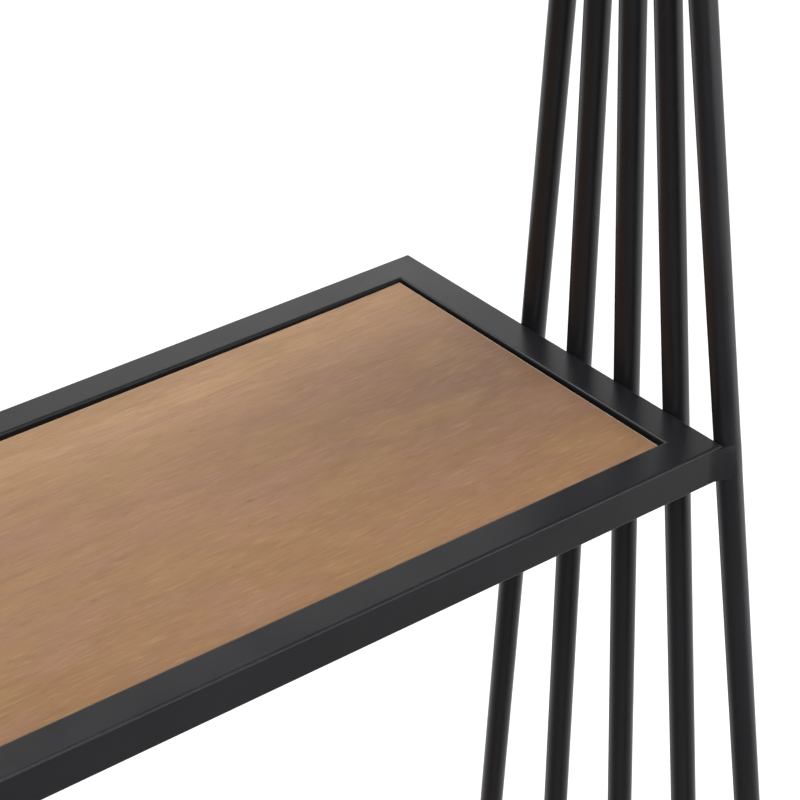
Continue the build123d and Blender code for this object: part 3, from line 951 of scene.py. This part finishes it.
# ---------------------------------------------------------------- stage, lights and camera
def floor_material():
    """Pale floor that glows to white around and behind the object."""
    material, tree, shader = new_material("floor_white")
    tone = ramp(tree, even_noise(tree, 1.5, detail=3), FLOOR_TONES)
    tree.links.new(tone, shader.inputs["Base Color"])
    shader.inputs["Emission Color"].default_value = WHITE
    coords = tree.nodes.new("ShaderNodeTexCoord")
    place = split_xyz(tree, coords.outputs["Object"])
    behind = math_node(tree, "ADD", place["Y"], math_node(tree, "MULTIPLY", place["X"], 0.7))
    glow = remap(tree, behind, -0.2, 1.8, 0.0, 0.8)
    reach = vector_node(tree, "LENGTH", coords.outputs["Object"])
    seen = remap(tree, reach.outputs["Value"], 0.7, 1.8, 0.78, 1.0)
    path = tree.nodes.new("ShaderNodeLightPath")
    to_camera = math_node(tree, "MULTIPLY", path.outputs["Is Camera Ray"], seen)
    glow = math_node(tree, "MAXIMUM", glow, to_camera)
    tree.links.new(glow, shader.inputs["Emission Strength"])
    shader.inputs["Roughness"].default_value = 0.8
    shader.inputs["Specular IOR Level"].default_value = 0.2
    return material


def make_stage():
    half = FLOOR_HALF
    mesh = bpy.data.meshes.new("floor")
    corners = [(-half, -half, 0), (half, -half, 0), (half, half, 0), (-half, half, 0)]
    mesh.from_pydata(corners, [], [(0, 1, 2, 3)])
    mesh.materials.append(floor_material())
    floor = bpy.data.objects.new("floor", mesh)
    bpy.context.scene.collection.objects.link(floor)


def area_light(name, place, target, width, height, watts):
    light = bpy.data.lights.new(name, "AREA")
    light.shape = "RECTANGLE"
    light.size = width
    light.size_y = height
    light.energy = watts
    obj = bpy.data.objects.new(name, light)
    bpy.context.scene.collection.objects.link(obj)
    obj.location = place
    obj.rotation_euler = (Vector(target) - Vector(place)).to_track_quat("-Z", "Y").to_euler()


def make_world():
    """White backdrop that gives only a little light."""
    world = bpy.data.worlds.new("studio")
    bpy.context.scene.world = world
    world.use_nodes = True
    tree = world.node_tree
    background = tree.nodes["Background"]
    background.inputs["Color"].default_value = WHITE
    path = tree.nodes.new("ShaderNodeLightPath")
    strength = remap(tree, path.outputs["Is Camera Ray"], 0.0, 1.0, FILL, 1.0)
    tree.links.new(strength, background.inputs["Strength"])


def make_camera():
    """Close view of the shelf's front right corner, from the front left and above."""
    low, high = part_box("shelf_front_rail")
    corner = Vector((high.x, low.y, high.z))
    forward = Vector((math.sin(CAMERA_AZIMUTH) * math.cos(CAMERA_ELEVATION),
                      math.cos(CAMERA_AZIMUTH) * math.cos(CAMERA_ELEVATION),
                      -math.sin(CAMERA_ELEVATION)))
    right = forward.cross(UP).normalized()
    up = right.cross(forward)
    rolled_right = right * math.cos(CAMERA_ROLL) + up * math.sin(CAMERA_ROLL)
    rolled_up = up * math.cos(CAMERA_ROLL) - right * math.sin(CAMERA_ROLL)
    camera = bpy.data.cameras.new("camera")
    camera.sensor_width = CAMERA_SENSOR
    camera.lens = CAMERA_LENS
    camera.clip_start = 0.05
    camera.clip_end = 60.0
    obj = bpy.data.objects.new("camera", camera)
    bpy.context.scene.collection.objects.link(obj)
    turn = Matrix((rolled_right, rolled_up, -forward)).transposed().to_4x4()
    obj.matrix_world = Matrix.Translation(corner + CAMERA_AWAY) @ turn
    bpy.context.scene.camera = obj
    bpy.context.scene.view_settings.view_transform = "Standard"


coat_cad_nodes()
board("shelf_panel", "shelf_board", MATERIALS["wood"], 3.0 * MM, (0.6 * MM, 1.9 * MM))
board("bench_panel", "bench_board", BENCH_WOOD, 0.6 * MM, (0.3 * MM, 0.6 * MM))
groove_welds()
end_welds()
plate_welds()
corner_welds()
prong_welds()
hook_screw_heads()
for frame_name in FRAMES:
    panel_screw_heads(frame_name)
for place in FEET:
    foot_stud(place)
    foot_pad(place)
make_stage()
make_world()
for settings in LIGHTS:
    area_light(*settings)
make_camera()
